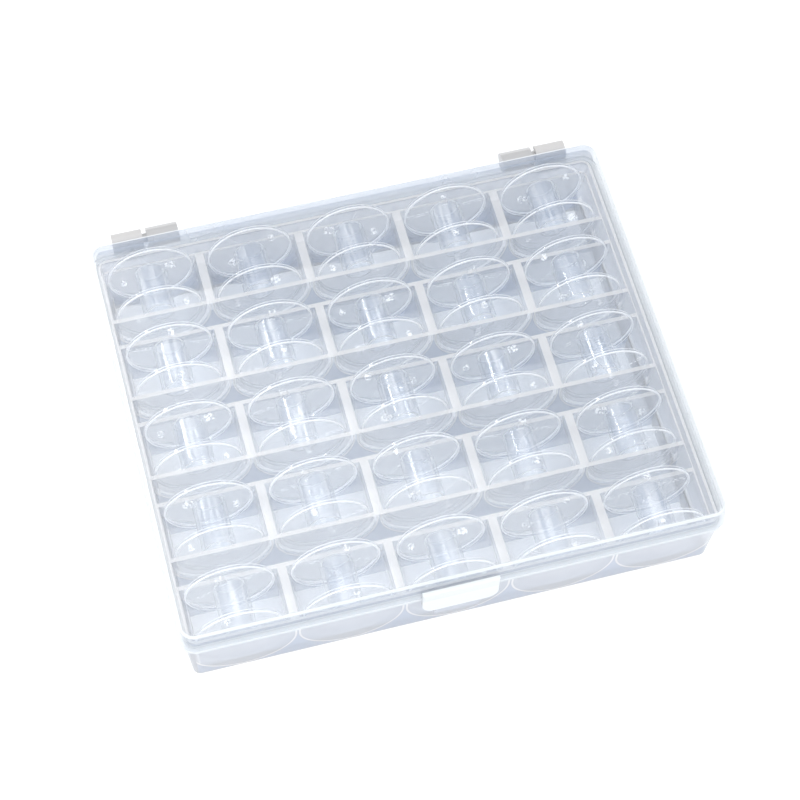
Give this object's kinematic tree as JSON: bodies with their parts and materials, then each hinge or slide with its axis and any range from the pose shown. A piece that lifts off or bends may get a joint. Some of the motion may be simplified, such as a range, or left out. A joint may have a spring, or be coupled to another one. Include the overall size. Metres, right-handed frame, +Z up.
{
  "type": "bobbin storage box",
  "caption": "Clear hinged plastic box with half-round wells that hold sewing machine bobbins upright on their rims, in rows, closed by a front snap latch.",
  "frame": {"origin": "on the table, under the middle of the whole object from latch to hinges", "axes": "+X to the right along the front, +Y from the latch to the hinges, +Z up"},
  "size_m": [0.1234, 0.1092, 0.0242],
  "materials": {
    "base_plastic": "clear polypropylene, slightly milky, smooth",
    "lid_plastic": "clear polypropylene, glossy",
    "bobbin_plastic": "clear styrene, glossy"
  },
  "bodies": {
    "base": {"base": "base_plastic"},
    "lid": {"lid": "lid_plastic"},
    "bobbin_r1c1": {"bobbin_r1c1": "bobbin_plastic"},
    "bobbin_r1c2": {"bobbin_r1c2": "bobbin_plastic"},
    "bobbin_r1c3": {"bobbin_r1c3": "bobbin_plastic"},
    "bobbin_r1c4": {"bobbin_r1c4": "bobbin_plastic"},
    "bobbin_r1c5": {"bobbin_r1c5": "bobbin_plastic"},
    "bobbin_r2c1": {"bobbin_r2c1": "bobbin_plastic"},
    "bobbin_r2c2": {"bobbin_r2c2": "bobbin_plastic"},
    "bobbin_r2c3": {"bobbin_r2c3": "bobbin_plastic"},
    "bobbin_r2c4": {"bobbin_r2c4": "bobbin_plastic"},
    "bobbin_r2c5": {"bobbin_r2c5": "bobbin_plastic"},
    "bobbin_r3c1": {"bobbin_r3c1": "bobbin_plastic"},
    "bobbin_r3c2": {"bobbin_r3c2": "bobbin_plastic"},
    "bobbin_r3c3": {"bobbin_r3c3": "bobbin_plastic"},
    "bobbin_r3c4": {"bobbin_r3c4": "bobbin_plastic"},
    "bobbin_r3c5": {"bobbin_r3c5": "bobbin_plastic"},
    "bobbin_r4c1": {"bobbin_r4c1": "bobbin_plastic"},
    "bobbin_r4c2": {"bobbin_r4c2": "bobbin_plastic"},
    "bobbin_r4c3": {"bobbin_r4c3": "bobbin_plastic"},
    "bobbin_r4c4": {"bobbin_r4c4": "bobbin_plastic"},
    "bobbin_r4c5": {"bobbin_r4c5": "bobbin_plastic"},
    "bobbin_r5c1": {"bobbin_r5c1": "bobbin_plastic"},
    "bobbin_r5c2": {"bobbin_r5c2": "bobbin_plastic"},
    "bobbin_r5c3": {"bobbin_r5c3": "bobbin_plastic"},
    "bobbin_r5c4": {"bobbin_r5c4": "bobbin_plastic"},
    "bobbin_r5c5": {"bobbin_r5c5": "bobbin_plastic"}
  },
  "joints": [
    {"name": "lid_hinge", "type": "hinge", "parent": "base", "child": "lid", "pos_m": [0, 0.05227, 0.0176], "axis": [-1, 0, 0], "range_deg": [0, 180]},
    {"name": "bobbin_r1c1_spin", "type": "hinge", "parent": "base", "child": "bobbin_r1c1", "pos_m": [-0.048, 0.04023, 0.0125], "axis": [0, 1, 0], "continuous": true},
    {"name": "bobbin_r1c2_spin", "type": "hinge", "parent": "base", "child": "bobbin_r1c2", "pos_m": [-0.024, 0.04023, 0.0125], "axis": [0, 1, 0], "continuous": true},
    {"name": "bobbin_r1c3_spin", "type": "hinge", "parent": "base", "child": "bobbin_r1c3", "pos_m": [0, 0.04023, 0.0125], "axis": [0, 1, 0], "continuous": true},
    {"name": "bobbin_r1c4_spin", "type": "hinge", "parent": "base", "child": "bobbin_r1c4", "pos_m": [0.024, 0.04023, 0.0125], "axis": [0, 1, 0], "continuous": true},
    {"name": "bobbin_r1c5_spin", "type": "hinge", "parent": "base", "child": "bobbin_r1c5", "pos_m": [0.048, 0.04023, 0.0125], "axis": [0, 1, 0], "continuous": true},
    {"name": "bobbin_r2c1_spin", "type": "hinge", "parent": "base", "child": "bobbin_r2c1", "pos_m": [-0.048, 0.01933, 0.0125], "axis": [0, 1, 0], "continuous": true},
    {"name": "bobbin_r2c2_spin", "type": "hinge", "parent": "base", "child": "bobbin_r2c2", "pos_m": [-0.024, 0.01933, 0.0125], "axis": [0, 1, 0], "continuous": true},
    {"name": "bobbin_r2c3_spin", "type": "hinge", "parent": "base", "child": "bobbin_r2c3", "pos_m": [0, 0.01933, 0.0125], "axis": [0, 1, 0], "continuous": true},
    {"name": "bobbin_r2c4_spin", "type": "hinge", "parent": "base", "child": "bobbin_r2c4", "pos_m": [0.024, 0.01933, 0.0125], "axis": [0, 1, 0], "continuous": true},
    {"name": "bobbin_r2c5_spin", "type": "hinge", "parent": "base", "child": "bobbin_r2c5", "pos_m": [0.048, 0.01933, 0.0125], "axis": [0, 1, 0], "continuous": true},
    {"name": "bobbin_r3c1_spin", "type": "hinge", "parent": "base", "child": "bobbin_r3c1", "pos_m": [-0.048, -0.00157, 0.0125], "axis": [0, 1, 0], "continuous": true},
    {"name": "bobbin_r3c2_spin", "type": "hinge", "parent": "base", "child": "bobbin_r3c2", "pos_m": [-0.024, -0.00157, 0.0125], "axis": [0, 1, 0], "continuous": true},
    {"name": "bobbin_r3c3_spin", "type": "hinge", "parent": "base", "child": "bobbin_r3c3", "pos_m": [0, -0.00157, 0.0125], "axis": [0, 1, 0], "continuous": true},
    {"name": "bobbin_r3c4_spin", "type": "hinge", "parent": "base", "child": "bobbin_r3c4", "pos_m": [0.024, -0.00157, 0.0125], "axis": [0, 1, 0], "continuous": true},
    {"name": "bobbin_r3c5_spin", "type": "hinge", "parent": "base", "child": "bobbin_r3c5", "pos_m": [0.048, -0.00157, 0.0125], "axis": [0, 1, 0], "continuous": true},
    {"name": "bobbin_r4c1_spin", "type": "hinge", "parent": "base", "child": "bobbin_r4c1", "pos_m": [-0.048, -0.02247, 0.0125], "axis": [0, 1, 0], "continuous": true},
    {"name": "bobbin_r4c2_spin", "type": "hinge", "parent": "base", "child": "bobbin_r4c2", "pos_m": [-0.024, -0.02247, 0.0125], "axis": [0, 1, 0], "continuous": true},
    {"name": "bobbin_r4c3_spin", "type": "hinge", "parent": "base", "child": "bobbin_r4c3", "pos_m": [0, -0.02247, 0.0125], "axis": [0, 1, 0], "continuous": true},
    {"name": "bobbin_r4c4_spin", "type": "hinge", "parent": "base", "child": "bobbin_r4c4", "pos_m": [0.024, -0.02247, 0.0125], "axis": [0, 1, 0], "continuous": true},
    {"name": "bobbin_r4c5_spin", "type": "hinge", "parent": "base", "child": "bobbin_r4c5", "pos_m": [0.048, -0.02247, 0.0125], "axis": [0, 1, 0], "continuous": true},
    {"name": "bobbin_r5c1_spin", "type": "hinge", "parent": "base", "child": "bobbin_r5c1", "pos_m": [-0.048, -0.04337, 0.0125], "axis": [0, 1, 0], "continuous": true},
    {"name": "bobbin_r5c2_spin", "type": "hinge", "parent": "base", "child": "bobbin_r5c2", "pos_m": [-0.024, -0.04337, 0.0125], "axis": [0, 1, 0], "continuous": true},
    {"name": "bobbin_r5c3_spin", "type": "hinge", "parent": "base", "child": "bobbin_r5c3", "pos_m": [0, -0.04337, 0.0125], "axis": [0, 1, 0], "continuous": true},
    {"name": "bobbin_r5c4_spin", "type": "hinge", "parent": "base", "child": "bobbin_r5c4", "pos_m": [0.024, -0.04337, 0.0125], "axis": [0, 1, 0], "continuous": true},
    {"name": "bobbin_r5c5_spin", "type": "hinge", "parent": "base", "child": "bobbin_r5c5", "pos_m": [0.048, -0.04337, 0.0125], "axis": [0, 1, 0], "continuous": true}
  ]
}
